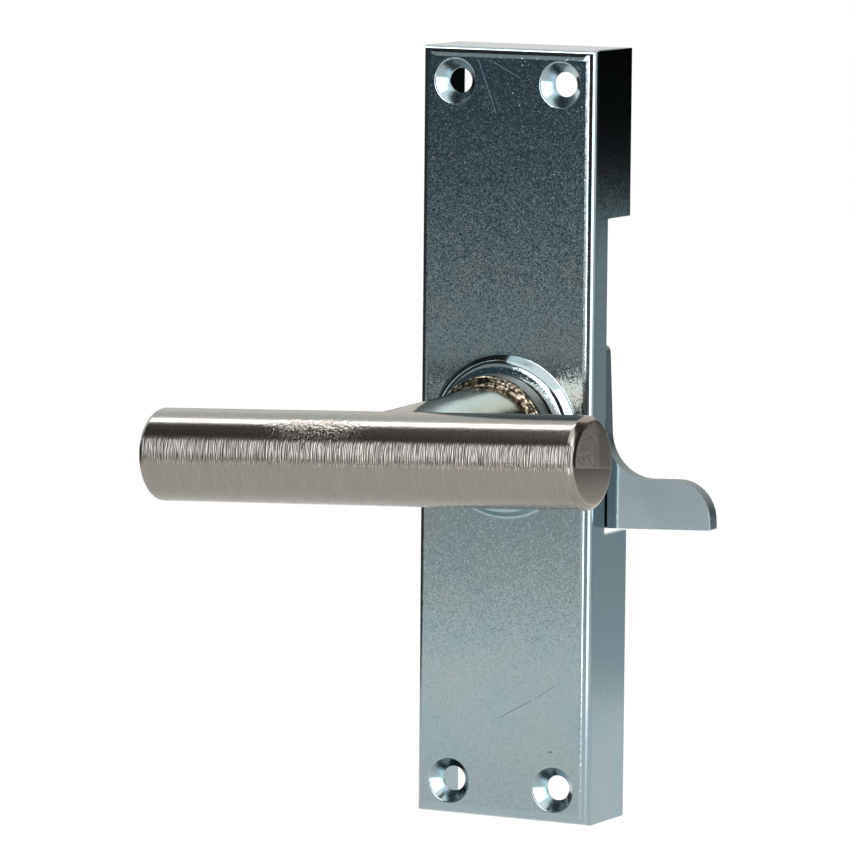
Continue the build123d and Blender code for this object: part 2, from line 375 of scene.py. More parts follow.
def countersink_tree():
    """Geometry nodes that set one pressed countersink at each corner of a grid."""
    tree = bpy.data.node_groups.new("Countersinks", "GeometryNodeTree")
    wanted = {
        "Geometry": "NodeSocketGeometry",
        "Countersink": "NodeSocketObject",
        "Spacing across": "NodeSocketFloat",
        "Spacing along": "NodeSocketFloat",
        "Finish": "NodeSocketMaterial",
    }
    for name, kind in wanted.items():
        tree.interface.new_socket(name, in_out="INPUT", socket_type=kind)
    tree.interface.new_socket("Geometry", in_out="OUTPUT", socket_type="NodeSocketGeometry")
    given = add_node(tree, "NodeGroupInput").outputs
    grid = add_node(
        tree,
        "GeometryNodeMeshGrid",
        {
            "Size X": given["Spacing across"],
            "Size Y": given["Spacing along"],
            "Vertices X": 2,
            "Vertices Y": 2,
        },
    )
    upright = add_node(
        tree, "GeometryNodeTransform", {"Geometry": grid, "Rotation": (math.radians(90), 0, 0)}
    )
    shape = add_node(tree, "GeometryNodeObjectInfo", {"Object": given["Countersink"]})
    copies = add_node(
        tree,
        "GeometryNodeInstanceOnPoints",
        {"Points": upright, "Instance": shape.outputs["Geometry"]},
    )
    real = add_node(tree, "GeometryNodeRealizeInstances", {"Geometry": copies})
    finished = add_node(
        tree, "GeometryNodeSetMaterial", {"Geometry": real, "Material": given["Finish"]}
    )
    add_node(tree, "NodeGroupOutput", {"Geometry": finished})
    return tree


def set_modifier(modifier, name, value):
    """Set a geometry nodes input by its socket's identifier."""
    for item in modifier.node_group.interface.items_tree:
        if item.item_type == "SOCKET" and item.in_out == "INPUT" and item.name == name:
            modifier[item.identifier] = value
            return
    raise KeyError(name)


def countersinks(sizes, face_y, material):
    """One mesh of the four pressed countersinks."""
    run = (sizes.sink_radius - sizes.hole_radius) / math.tan(sizes.sink_angle / 2)
    profile = rounded(
        [
            (sizes.sink_radius + 0.5 * sizes.sink_lip, face_y, 0),
            (sizes.sink_radius, face_y, sizes.sink_lip),
            (sizes.hole_radius, face_y + run, sizes.cut_edge),
            (sizes.hole_radius, face_y + sizes.sink_depth, 0),
        ],
        ROUND_STEPS,
    )
    bm = bmesh.new()
    skin_rings(bm, [ellipse(r, r, y, HOLE_SEGMENTS) for r, y in profile])
    single = new_piece("countersink", bm)
    group = new_piece("countersinks", bmesh.new())
    modifier = group.modifiers.new("Countersinks", "NODES")
    modifier.node_group = countersink_tree()
    values = {
        "Countersink": single,
        "Spacing across": sizes.hole_across,
        "Spacing along": sizes.hole_along,
        "Finish": material,
    }
    for name, value in values.items():
        set_modifier(modifier, name, value)
    make_plain(group)
    mesh = group.data
    for helper in (group, single):
        bpy.data.objects.remove(helper)
    return mesh


def cover_skin(sizes, material):
    """Outer skin of the folded cover: face, boss, countersinks, folds and flanges."""
    face_y = -sizes.depth
    support = 0.05 * MM
    x = sizes.width / 2
    z = sizes.height / 2
    bm = bmesh.new()
    bm.from_mesh(countersinks(sizes, face_y, material))

    # The cover has one finish, in its first slot
    for face in bm.faces:
        face.material_index = 0

    boss = rounded(
        [
            (sizes.boss_base + sizes.boss_base_round, face_y, 0),
            (sizes.boss_base, face_y, sizes.boss_base_round),
            (sizes.boss_top, sizes.boss_y + sizes.boss_crown, sizes.boss_top_round),
            (sizes.boss_hole, sizes.boss_y, 0),
        ],
        ROUND_STEPS,
    )
    skin_rings(bm, [ellipse(r, r, y, TURNED_SEGMENTS) for r, y in boss])

    fold = rounded(
        [
            (sizes.bend + support, face_y, 0),
            (0, face_y, sizes.bend),
            (0, face_y + sizes.bend + support, 0),
        ],
        BEND_STEPS,
    )
    rings = skin_rings(bm, [tray_ring(sizes, inset, y) for inset, y in fold])
    rims = [edge for edge in bm.edges if edge.is_boundary and in_plane(edge, face_y)]
    bmesh.ops.triangle_fill(bm, use_beauty=True, edges=rims, normal=(0, -1, 0))

    # Flanges, the right-hand one with the tongue's notch
    low_left, seam_a, seam_b, low_right, high_right, seam_c, seam_d, high_left = rings[-1]
    seam = seam_b.co.x
    notch = rounded(
        [
            (0, sizes.notch_high, 0),
            (-sizes.notch_depth, sizes.notch_high, sizes.notch_corner),
            (-sizes.notch_depth, sizes.notch_low, sizes.notch_corner),
            (0, sizes.notch_low, 0),
        ],
        ROUND_STEPS,
    )
    flanges = [
        ((seam_a, seam_b), [(seam, 0, -z), (-seam, 0, -z)]),
        ((seam_c, seam_d), [(-seam, 0, z), (seam, 0, z)]),
        ((high_left, low_left), [(-x, 0, -z), (-x, 0, z)]),
        ((low_right, high_right), [(x, 0, z)] + [(x, y, up) for y, up in notch] + [(x, 0, -z)]),
    ]
    for fold_edge, rim in flanges:
        bm.faces.new(list(fold_edge) + [bm.verts.new(point) for point in rim])
    face_outwards(bm)

    # The skin is open, so its outside is the way that most of it has to look, which is forwards
    forwards = sum(-face.normal.y * face.calc_area() for face in bm.faces)
    if forwards < 0:
        bmesh.ops.reverse_faces(bm, faces=bm.faces)
    return bm


def bar_shape(sizes):
    """The bar as a closed shape, level, its end faces a little domed by buffing."""
    face_radius = sizes.bar_radius - sizes.end_chamfer
    left = sizes.end_dome - sizes.long_arm
    right = sizes.short_arm - sizes.end_dome
    shares = (0.1, 0.25, 0.4, 0.55, 0.7, 0.85)
    dome = [Vector((sizes.end_dome * (1 - share * share), face_radius * share)) for share in shares]
    profile = rounded(
        [
            (left - dome[-1].x, dome[-1].y, 0),
            (left, face_radius, sizes.end_round),
            (left + sizes.end_chamfer, sizes.bar_radius, sizes.end_round),
            (right - sizes.end_chamfer, sizes.bar_radius, sizes.end_round),
            (right, face_radius, sizes.end_round),
            (right + dome[-1].x, dome[-1].y, 0),
        ],
        ROUND_STEPS,
    )
    split = 2 * (ROUND_STEPS + 1) + 1
    ring_spacing = 2 * MM
    runs = round((profile[split].x - profile[split - 1].x) / ring_spacing)
    middle = [profile[split - 1].lerp(profile[split], i / runs) for i in range(1, runs)]
    left_face = [Vector((left - spot.x, spot.y)) for spot in dome[:-1]]
    right_face = [Vector((right + spot.x, spot.y)) for spot in reversed(dome[:-1])]
    stations = left_face + profile[:split] + middle + profile[split:] + right_face
    bm = bmesh.new()
    rings = []
    for along, radius in stations:
        rings.append([(along, sizes.bar_y + y, up) for up, y in circle(radius, BAR_SEGMENTS)])
    made = skin_rings(bm, rings)
    bm.faces.new(made[0])
    bm.faces.new(made[-1])
    face_outwards(bm)
    return bm


def between(y, stations):
    """Value at depth y on the parabola through three (depth, value) stations."""
    total = 0
    for i, (depth, value) in enumerate(stations):
        share = value
        for j, (other, _) in enumerate(stations):
            if i != j:
                share *= (y - other) / (depth - other)
        total += share
    return total


def neck_shape(sizes):
    """Shank, hub and neck as a closed shape that ends inside the bar, level."""
    turned = rounded(
        [
            (sizes.shank_radius, sizes.shank_rear, 0),
            (sizes.shank_radius, sizes.hub_rear, 0),
            (sizes.hub_radius, sizes.hub_rear, sizes.hub_rear_round),
            (sizes.hub_radius, sizes.hub_front, sizes.hub_round),
            (sizes.neck_root, sizes.hub_front, sizes.cove),
            (sizes.neck_radius, sizes.neck_end, 0),
        ],
        ROUND_STEPS,
    )
    widths = [
        (sizes.neck_end, sizes.neck_radius),
        (sizes.throat_y, sizes.throat_half_width),
        (sizes.bar_y, sizes.flare_half_width),
    ]
    heights = [
        (sizes.neck_end, sizes.neck_radius),
        (sizes.throat_y, sizes.throat_half_height),
        (sizes.bar_y, sizes.flare_half_height),
    ]
    rings = [ellipse(r, r, y, TURNED_SEGMENTS) for r, y in turned]
    for step in range(1, FLARE_STEPS + 1):
        y = sizes.neck_end + (sizes.bar_y - sizes.neck_end) * step / FLARE_STEPS
        rings.append(ellipse(between(y, widths), between(y, heights), y, TURNED_SEGMENTS))
    bm = bmesh.new()
    made = skin_rings(bm, rings)
    bm.faces.new(made[-1])

    # Blind square socket in the shank's rear face
    depths = (sizes.shank_rear, sizes.shank_rear - sizes.socket_depth)
    socket = skin_rings(bm, [[(across, y, up) for across, up in square(sizes.socket)] for y in depths])
    bm.faces.new(socket[-1])
    rim = [edge for edge in bm.edges if edge.is_boundary]
    bmesh.ops.triangle_fill(bm, use_beauty=True, edges=rim, normal=(0, 1, 0))
    face_outwards(bm)
    return bm


def tongue_shape(sizes):
    """The stamped plate with its square hole, level."""
    outline = rounded(
        [
            (sizes.finger_tip, sizes.bottom, sizes.heel_radius),
            (sizes.finger_tip, sizes.finger_top, sizes.tip_radius),
            (sizes.body_right, sizes.finger_top, sizes.root_radius),
            (sizes.body_right, sizes.swing, sizes.corner_radius),
            (-sizes.swing, sizes.swing, sizes.swing),
            (-sizes.swing, sizes.bottom, sizes.swing),
        ],
        OUTLINE_STEPS,
        closed=True,
    )
    bm = bmesh.new()
    for loop in (outline, square(sizes.hole)):
        verts = [bm.verts.new((across, sizes.rear, up)) for across, up in loop]
        for i, vert in enumerate(verts):
            bm.edges.new((vert, verts[i - 1]))
    bmesh.ops.remove_doubles(bm, verts=bm.verts, dist=WELD)
    bmesh.ops.triangle_fill(bm, use_beauty=True, edges=bm.edges, normal=(0, 1, 0))
    raised = bmesh.ops.extrude_face_region(bm, geom=bm.faces[:])["geom"]
    front = [item for item in raised if isinstance(item, bmesh.types.BMVert)]
    bmesh.ops.translate(bm, verts=front, vec=(0, sizes.front - sizes.rear, 0))
    bmesh.ops.recalc_face_normals(bm, faces=bm.faces)
    rolled = []
    for edge in bm.edges:
        outside = all(math.hypot(vert.co.x, vert.co.z) > sizes.hole for vert in edge.verts)
        if outside and in_plane(edge, sizes.front) and edge.calc_face_angle(0) > SHARP_ANGLE:
            rolled.append(edge)
    bmesh.ops.bevel(
        bm,
        geom=rolled,
        offset=sizes.stamped_edge,
        offset_type="OFFSET",
        segments=4,
        profile=0.5,
        affect="EDGES",
        clamp_overlap=True,
    )
    return bm


# Finishes


def set_inputs(tree, node, inputs):
    """Set a node's inputs, or link them where a socket or a node with one result is given."""
    for name, value in inputs.items():
        socket = node.inputs[name]
        if isinstance(value, bpy.types.Node):
            value = next(output for output in value.outputs if output.enabled)
        if isinstance(value, bpy.types.NodeSocket):
            tree.links.new(value, socket)
        else:
            socket.default_value = (*value, 1) if socket.type == "RGBA" else value


def add_node(tree, kind, inputs=None, **options):
    """Add a node, set its options, and set or link its inputs."""
    node = tree.nodes.new(kind)
    for name, value in options.items():
        setattr(node, name, value)
    set_inputs(tree, node, inputs or {})
    return node


def new_finish(name, metallic, roughness, base):
    """A material with one Principled shader, and its object coordinates in millimetres."""
    material = bpy.data.materials.new(name)
    material.use_nodes = True
    tree = material.node_tree
    shader = next(node for node in tree.nodes if node.type == "BSDF_PRINCIPLED")
    set_inputs(tree, shader, {"Metallic": metallic, "Roughness": roughness, "Base Color": base})
    place_of = add_node(tree, "ShaderNodeTexCoord").outputs["Object"]
    where = add_node(tree, "ShaderNodeVectorMath", {0: place_of, "Scale": 1 / MM}, operation="SCALE")
    return material, tree, shader, where


def facing_front(tree):
    """The surface's normal, and how squarely it faces front or back."""
    normal = add_node(tree, "ShaderNodeNewGeometry").outputs["Normal"]
    depth = add_node(tree, "ShaderNodeSeparateXYZ", {"Vector": normal}).outputs["Y"]
    return normal, add_node(tree, "ShaderNodeMath", {0: depth}, operation="ABSOLUTE")


def sparkle(tree, where, tilt):
    """Normal that leans another way on each flake of the plating.

    A few flakes lean far, and those off the face or low on the plate lean little.
    """
    # Zinc crystals are far finer than these flakes, which are as coarse as they need to be to show
    flake = 0.18
    share_up = 0.8
    steepest = 3.0
    off_face = 0.2
    flakes = add_node(tree, "ShaderNodeTexVoronoi", {"Vector": where, "Scale": 1 / flake}).outputs
    lean = add_node(
        tree,
        "ShaderNodeVectorMath",
        {0: flakes["Color"], 1: (1, 1, share_up), 2: (-0.5, -0.5, -0.5 * share_up)},
        operation="MULTIPLY_ADD",
    )
    draw = add_node(tree, "ShaderNodeTexWhiteNoise", {"Vector": flakes["Position"]})
    steep = add_node(
        tree, "ShaderNodeMapRange", {"Value": draw, "From Min": 0.4, "To Min": 1, "To Max": steepest}
    )
    normal, on_face = facing_front(tree)
    on_edge = add_node(
        tree,
        "ShaderNodeMapRange",
        {"Value": on_face, "From Min": 0.9, "From Max": 0.99, "To Min": off_face * tilt, "To Max": tilt},
    )
    up = add_node(tree, "ShaderNodeSeparateXYZ", {"Vector": where}).outputs["Z"]
    coarse = add_node(
        tree,
        "ShaderNodeMapRange",
        {"Value": up, "From Min": -30, "From Max": 30, "To Min": 0.6, "To Max": 1.3},
    )
    slope = on_edge
    for share in (coarse, steep):
        slope = add_node(tree, "ShaderNodeMath", {0: slope, 1: share}, operation="MULTIPLY")
    small = add_node(tree, "ShaderNodeVectorMath", {0: lean, "Scale": slope}, operation="SCALE")
    leaning = add_node(tree, "ShaderNodeVectorMath", {0: small, 1: normal}, operation="ADD")
    return add_node(tree, "ShaderNodeVectorMath", {0: leaning}, operation="NORMALIZE")


def nearness(tree, where, marks):
    """How close a point is to any of some marks on the cover's face: 1 on a mark, 0 beside it."""
    total = 0.0
    for start, end, width in marks:
        run = Vector(end) - Vector(start)
        away = add_node(tree, "ShaderNodeVectorMath", {0: where, 1: start}, operation="SUBTRACT")
        share = add_node(
            tree, "ShaderNodeVectorMath", {0: away, 1: run / run.length_squared}, operation="DOT_PRODUCT"
        )
        along = add_node(tree, "ShaderNodeClamp", {"Value": share})
        foot = add_node(tree, "ShaderNodeVectorMath", {0: run, "Scale": along}, operation="SCALE")
        gap = add_node(tree, "ShaderNodeVectorMath", {0: away, 1: foot}, operation="DISTANCE")
        near = add_node(
            tree,
            "ShaderNodeMapRange",
            {"Value": gap, "From Min": 0.3 * width, "From Max": 0.6 * width, "To Min": 1, "To Max": 0},
        )
        total = add_node(tree, "ShaderNodeMath", {0: near, 1: total}, operation="MAXIMUM")
    return total


def zinc_plate(finish, name, base, tilt, cloudy):
    """Blue-passivated electroplated zinc: a fine sparkling grain, with warm and blue clouds in the tint."""
    material, tree, shader, where = new_finish(name, 1.0, BRIGHT, base)
    clouds = ((12, 0.4, 0.65, finish.zinc_blue), (30, 0.48, 0.68, finish.zinc_warm))
    shade = base
    for width, thin, thick, tint in clouds:
        cloud = add_node(tree, "ShaderNodeTexNoise", {"Vector": where, "Scale": 1 / width})
        share = add_node(
            tree,
            "ShaderNodeMapRange",
            {"Value": cloud, "From Min": thin, "From Max": thick, "To Max": cloudy},
        )
        shade = add_node(tree, "ShaderNodeMix", {"Factor": share, "A": shade, "B": tint}, data_type="RGBA")
    set_inputs(tree, shader, {"Base Color": shade, "Normal": sparkle(tree, where, tilt)})
    return material, tree, shader, where, shade


def cover_zinc(finish, sizes, scratches, pits):
    """The cover's zinc plate: duller on scratches and in the countersinks, dark in the score and the pit."""
    material, tree, shader, where, shade = zinc_plate(
        finish, "blue-passivated zinc sheet", finish.zinc, 0.05, 0.5
    )
    scratched = nearness(tree, where, scratches)
    scored = add_node(
        tree, "ShaderNodeMapRange", {"Value": scratched, "To Min": BRIGHT, "To Max": SCORED}
    )
    quarter = add_node(tree, "ShaderNodeVectorMath", {0: where}, operation="ABSOLUTE")
    hole_at = (-0.5 * sizes.hole_across / MM, 0, -0.5 * sizes.hole_along / MM)
    offset = add_node(
        tree, "ShaderNodeVectorMath", {0: quarter, 1: (1, 0, 1), 2: hole_at}, operation="MULTIPLY_ADD"
    )
    away = add_node(tree, "ShaderNodeVectorMath", {0: offset}, operation="LENGTH")
    lip = sizes.sink_radius / MM
    pressed = add_node(
        tree,
        "ShaderNodeMapRange",
        {"Value": away, "From Min": lip, "From Max": lip + 0.2, "To Min": PRESSED, "To Max": BRIGHT},
    )
    rough = add_node(tree, "ShaderNodeMath", {0: scored, 1: pressed}, operation="MAXIMUM")
    pitted = nearness(tree, where, pits)
    dark = add_node(tree, "ShaderNodeMath", {0: pitted, 1: 0.8}, operation="MULTIPLY")
    marked = add_node(
        tree, "ShaderNodeMix", {"Factor": dark, "A": shade, "B": finish.zinc_pit}, data_type="RGBA"
    )
    set_inputs(tree, shader, {"Base Color": marked, "Roughness": rough})
    return material


def tongue_zinc(finish):
    """The tongue's zinc plate, thin and dull on the sheared edges."""
    material, tree, shader, _, shade = zinc_plate(
        finish, "zinc-plated stamped steel", finish.zinc_tongue, 0.012, 0.2
    )
    _, on_face = facing_front(tree)
    flat = add_node(tree, "ShaderNodeMapRange", {"Value": on_face, "From Min": 0.2, "From Max": 0.6})
    tint = add_node(
        tree, "ShaderNodeMix", {"Factor": flat, "A": finish.zinc_edge, "B": shade}, data_type="RGBA"
    )
    rough = add_node(tree, "ShaderNodeMapRange", {"Value": flat, "To Min": SHEARED, "To Max": BRIGHT})
    set_inputs(tree, shader, {"Base Color": tint, "Roughness": rough})
    return material


def along_bar(tree, where, sizes):
    """Coordinates in millimetres from the bar's axis, as if the bar stood level."""
    return add_node(
        tree,
        "ShaderNodeMapping",
        {"Vector": where, "Rotation": (0, sizes.rest_turn, 0), "Location": (0, -sizes.bar_y / MM, 0)},
    )


def rise(degrees):
    """Height on the bar at an angle over its middle, as a share of its radius."""
    return math.sin(math.radians(degrees))


def brushed_nickel(finish, sizes):
    """Satin nickel brushed round the bar's girth: bands along the bar, broken into bright upright lines."""
    material, tree, shader, where = new_finish("brushed satin nickel", 1.0, 0.2, finish.nickel)
    # Real strokes are finer, and these are as coarse as they need to be to show
    stroke_length = 7.0
    stroke_width = 0.24
    stroke_depth = 0.17 * MM
    pit_width = 0.6
    pit_depth = 0.2 * MM
    pitted_at = -13.5
    radius = sizes.bar_radius / MM
    level = along_bar(tree, where, sizes)
    parts = add_node(tree, "ShaderNodeSeparateXYZ", {"Vector": level}).outputs
    angle = add_node(tree, "ShaderNodeMath", {0: parts["Z"], 1: parts["Y"]}, operation="ARCTAN2")
    around = add_node(tree, "ShaderNodeMath", {0: angle, 1: radius / stroke_length}, operation="MULTIPLY")
    across = add_node(tree, "ShaderNodeMath", {0: parts["X"], 1: stroke_width}, operation="DIVIDE")
    stroke_at = add_node(tree, "ShaderNodeCombineXYZ", {"X": across, "Y": around})
    strokes = add_node(tree, "ShaderNodeTexNoise", {"Vector": stroke_at, "Scale": 1, "Detail": 1})
    bright = add_node(
        tree, "ShaderNodeMapRange", {"Value": strokes, "From Min": 0.5, "From Max": 0.75, "To Max": 0.2}
    )
    shade = add_node(
        tree,
        "ShaderNodeMix",
        {"Factor": bright, "A": finish.nickel, "B": finish.nickel_bright},
        data_type="RGBA",
    )

    # The brushing's direction turns with the handle
    axis = add_node(
        tree, "ShaderNodeCombineXYZ", {"X": math.cos(sizes.rest_turn), "Z": math.sin(sizes.rest_turn)}
    )
    tangent = add_node(
        tree,
        "ShaderNodeVectorTransform",
        {"Vector": axis},
        vector_type="VECTOR",
        convert_from="OBJECT",
        convert_to="WORLD",
    )

    # A pitted patch on the bar's shoulder
    upward = add_node(tree, "ShaderNodeMath", {0: parts["Z"], 1: radius}, operation="DIVIDE")
    above = add_node(
        tree,
        "ShaderNodeMapRange",
        {"Value": upward, "From Min": rise(26), "From Max": rise(34), "To Min": 0.1},
    )
    below = add_node(
        tree,
        "ShaderNodeMapRange",
        {"Value": upward, "From Min": rise(50), "From Max": rise(60), "To Min": 1, "To Max": 0.1},
    )
    aside = add_node(tree, "ShaderNodeMath", {0: parts["X"], 1: pitted_at}, operation="SUBTRACT")
    away = add_node(tree, "ShaderNodeMath", {0: aside}, operation="ABSOLUTE")
    patch = add_node(
        tree,
        "ShaderNodeMapRange",
        {"Value": away, "From Min": 5, "From Max": 13, "To Min": 1, "To Max": 0.08},
    )
    pits = add_node(tree, "ShaderNodeTexNoise", {"Vector": where, "Scale": 1 / pit_width})
    pitted = add_node(tree, "ShaderNodeMath", {0: pits, 1: 0.5}, operation="SUBTRACT")
    for share in (above, below, patch):
        pitted = add_node(tree, "ShaderNodeMath", {0: pitted, 1: share}, operation="MULTIPLY")
    peel = add_node(tree, "ShaderNodeBump", {"Height": pitted, "Distance": pit_depth})

    # Strokes stand out on the front and are worn away above it
    worn = add_node(
        tree,
        "ShaderNodeMapRange",
        {"Value": upward, "From Min": rise(22), "From Max": rise(29), "To Min": 1, "To Max": 0.06},
    )
    middle = add_node(tree, "ShaderNodeMath", {0: strokes, 1: 0.5}, operation="SUBTRACT")
    ridges = add_node(tree, "ShaderNodeMath", {0: middle, 1: worn}, operation="MULTIPLY")
    bump = add_node(tree, "ShaderNodeBump", {"Height": ridges, "Distance": stroke_depth, "Normal": peel})
    set_inputs(tree, shader, {"Base Color": shade, "Normal": bump, "Tangent": tangent, "Anisotropic": 0.5})
    return material


def polished_nickel(finish, sizes):
    """Bright nickel on a buffed casting: nearly a mirror, with brown specks of casting skin near the hub."""
    material, tree, shader, where = new_finish("polished nickel", 1.0, 0.14, finish.nickel_polished)
    buffing_width = 3.5
    buffing_depth = 0.07 * MM
    speck_width = 0.9
    skin_depth = 0.08 * MM
    hub_front = sizes.hub_front / MM
    depth = add_node(tree, "ShaderNodeSeparateXYZ", {"Vector": where}).outputs["Y"]
    near_hub = add_node(
        tree,
        "ShaderNodeMapRange",
        {"Value": depth, "From Min": hub_front - 2.5, "From Max": hub_front - 0.5},
    )
    mottle = add_node(
        tree,
        "ShaderNodeTexNoise",
        {"Vector": where, "Scale": 1 / speck_width, "Detail": 4, "Roughness": 0.65},
    )
    spots = add_node(tree, "ShaderNodeMapRange", {"Value": mottle, "From Min": 0.44, "From Max": 0.54})
    specks = add_node(tree, "ShaderNodeMath", {0: spots, 1: near_hub}, operation="MULTIPLY")
    shade = add_node(
        tree,
        "ShaderNodeMix",
        {"Factor": specks, "A": finish.nickel_polished, "B": finish.nickel_skin_and_shade},
        data_type="RGBA",
    )
    buffing = add_node(
        tree, "ShaderNodeTexNoise", {"Vector": where, "Scale": 1 / buffing_width, "Detail": 1}
    )
    uneven = add_node(tree, "ShaderNodeBump", {"Height": buffing, "Distance": buffing_depth})
    skin = add_node(tree, "ShaderNodeMath", {0: mottle, 1: near_hub}, operation="MULTIPLY")
    bump = add_node(tree, "ShaderNodeBump", {"Height": skin, "Distance": skin_depth, "Normal": uneven})
    set_inputs(tree, shader, {"Base Color": shade, "Normal": bump})
    return material


def cast_end(finish, sizes):
    """Bar's end as cast: mottled skin over the parting line, darker towards the back; a smoother buffed half
    under it, light at the bottom and darker towards the parting line; painted shade inside the rim of the
    upper half.
    """
    material, tree, shader, where = new_finish("cast nickel end", 1.0, 0.34, finish.nickel_end)
    mottle_width = 0.7
    skin_depth = 0.05 * MM
    parting_lean = 0.1
    rim = (sizes.bar_radius - sizes.end_chamfer) / MM
    level = along_bar(tree, where, sizes)
    parts = add_node(tree, "ShaderNodeSeparateXYZ", {"Vector": level}).outputs
    lean = add_node(tree, "ShaderNodeMath", {0: parts["Y"], 1: parting_lean}, operation="MULTIPLY")
    up = add_node(tree, "ShaderNodeMath", {0: parts["Z"], 1: lean}, operation="ADD")
    over = add_node(tree, "ShaderNodeMapRange", {"Value": up, "From Min": -1.0, "From Max": -0.75})
    # The lower half is light at the bottom and darker towards the parting line
    under = add_node(tree, "ShaderNodeMapRange", {"Value": up, "From Min": -8.0, "From Max": -1.2})
    # The upper half is darker towards the back of the end face
    darker_back = add_node(
        tree, "ShaderNodeMapRange", {"Value": parts["Y"], "From Min": 1.6, "From Max": 3.2, "To Max": 0.9}
    )
    mottle = add_node(
        tree,
        "ShaderNodeTexNoise",
        {"Vector": where, "Scale": 1 / mottle_width, "Detail": 4, "Roughness": 0.7},
    )
    spots = add_node(
        tree, "ShaderNodeMapRange", {"Value": mottle, "From Min": 0.38, "From Max": 0.62, "To Max": 0.9}
    )

    # Painted shade: a dark line inside the rim of the upper half, strongest at the front, standing in for
    # the shadow gap at the rim's edge
    off_axis = add_node(tree, "ShaderNodeVectorMath", {0: level, 1: (0, 1, 1)}, operation="MULTIPLY")
    reach = add_node(tree, "ShaderNodeVectorMath", {0: off_axis}, operation="LENGTH")
    painted_rim_shade = add_node(
        tree, "ShaderNodeMapRange", {"Value": reach, "From Min": rim - 0.95, "From Max": rim - 0.75}
    )
    front = add_node(
        tree,
        "ShaderNodeMapRange",
        {"Value": parts["Y"], "From Min": -5.0, "From Max": 1.0, "To Min": 1, "To Max": 0},
    )
    for share in (over, front):
        painted_rim_shade = add_node(tree, "ShaderNodeMath", {0: painted_rim_shade, 1: share}, operation="MULTIPLY")

    light = finish.nickel_end
    dark = finish.nickel_end_dark
    skin = add_node(tree, "ShaderNodeMix", {"Factor": spots, "A": light, "B": dark}, data_type="RGBA")
    upper = add_node(tree, "ShaderNodeMix", {"Factor": darker_back, "A": skin, "B": dark}, data_type="RGBA")
    lower = add_node(tree, "ShaderNodeMix", {"Factor": under, "A": light, "B": dark}, data_type="RGBA")
    halves = add_node(tree, "ShaderNodeMix", {"Factor": over, "A": lower, "B": upper}, data_type="RGBA")
    shade = add_node(
        tree, "ShaderNodeMix", {"Factor": painted_rim_shade, "A": halves, "B": finish.nickel_skin_and_shade}, data_type="RGBA"
    )
    height = add_node(tree, "ShaderNodeMath", {0: mottle, 1: over}, operation="MULTIPLY")
    bump = add_node(tree, "ShaderNodeBump", {"Height": height, "Distance": skin_depth})
    set_inputs(tree, shader, {"Base Color": shade, "Normal": bump})
    return material


def plain_metal(name, base, roughness):
    """Drawn or stamped metal with a faint grain, which is as coarse as it needs to be to show."""
    material, tree, shader, where = new_finish(name, 1.0, roughness, base)
    grain_width = 0.5
    grain_depth = 0.008 * MM
    grain = add_node(tree, "ShaderNodeTexNoise", {"Vector": where, "Scale": 1 / grain_width, "Detail": 3})
    rough = add_node(
        tree,
        "ShaderNodeMapRange",
        {
            "Value": grain,
            "From Min": 0.3,
            "From Max": 0.7,
            "To Min": roughness - 0.08,
            "To Max": roughness + 0.1,
        },
    )
    bump = add_node(tree, "ShaderNodeBump", {"Height": grain, "Distance": grain_depth})
    set_inputs(tree, shader, {"Roughness": rough, "Normal": bump})
    return material


def moulded_nylon(finish):
    """Natural nylon as moulded: a waxy cream with soft clouds."""
    material, tree, shader, where = new_finish("natural nylon", 0.0, 0.42, finish.nylon)
    cloud_width = 3.0
    cloud = add_node(tree, "ShaderNodeTexNoise", {"Vector": where, "Scale": 1 / cloud_width})
    share = add_node(
        tree, "ShaderNodeMapRange", {"Value": cloud, "From Min": 0.35, "From Max": 0.65, "To Max": 0.4}
    )
    shade = add_node(
        tree,
        "ShaderNodeMix",
        {"Factor": share, "A": finish.nylon, "B": finish.nylon_cloud},
        data_type="RGBA",
    )
    set_inputs(tree, shader, {"Base Color": shade})
    return material


# Stage


def card(name, centre, facing, width, height, material):
    """A flat card that stands at a point and faces another one."""
    toward = (Vector(facing) - Vector(centre)).normalized()
    side = toward.cross(Vector((0, 0, 1)))
    side = side.normalized() if side.length > 0.01 else Vector((1, 0, 0))
    up = side.cross(toward)
    bm = bmesh.new()
    corners = [Vector(centre) + side * (sx * width) + up * (sz * height) for sx, sz in square(1)]
    bm.faces.new([bm.verts.new(corner) for corner in corners])
    made = new_piece(name, bm)
    made.data.materials.append(material)
    return made


def panel(name, centre, facing, width, height, levels, tint="#ffffff", top_tint=None):
    """A studio panel that only reflections see; its glow runs through (height, glow) stops."""
    finish, tree, shader, where = new_finish(name, 0.0, 1.0, (0, 0, 0))
    set_inputs(tree, shader, {"Specular IOR Level": 0.0, "Emission Color": linear(tint)})
    up = add_node(tree, "ShaderNodeSeparateXYZ", {"Vector": where}).outputs["Z"]
    if top_tint:
        share = add_node(
            tree,
            "ShaderNodeMapRange",
            {"Value": up, "From Min": levels[-3][0], "From Max": levels[-1][0]},
        )
        hue = add_node(
            tree,
            "ShaderNodeMix",
            {"Factor": share, "A": linear(tint), "B": linear(top_tint)},
            data_type="RGBA",
        )
        set_inputs(tree, shader, {"Emission Color": hue})
    glow = levels[0][1]
    for (low, low_glow), (high, high_glow) in zip(levels, levels[1:]):
        step = add_node(
            tree,
            "ShaderNodeMapRange",
            {"Value": up, "From Min": low, "From Max": high, "To Max": high_glow - low_glow},
        )
        glow = add_node(tree, "ShaderNodeMath", {0: glow, 1: step}, operation="ADD")
    set_inputs(tree, shader, {"Emission Strength": glow})
    made = card(name, centre, facing, width, height, finish)
    made.visible_camera = False
    made.visible_diffuse = False
    made.visible_shadow = False
    made.visible_transmission = False
    return made


def even(glow):
    """Levels of a panel that glows the same all over."""
    return ((0, glow),)


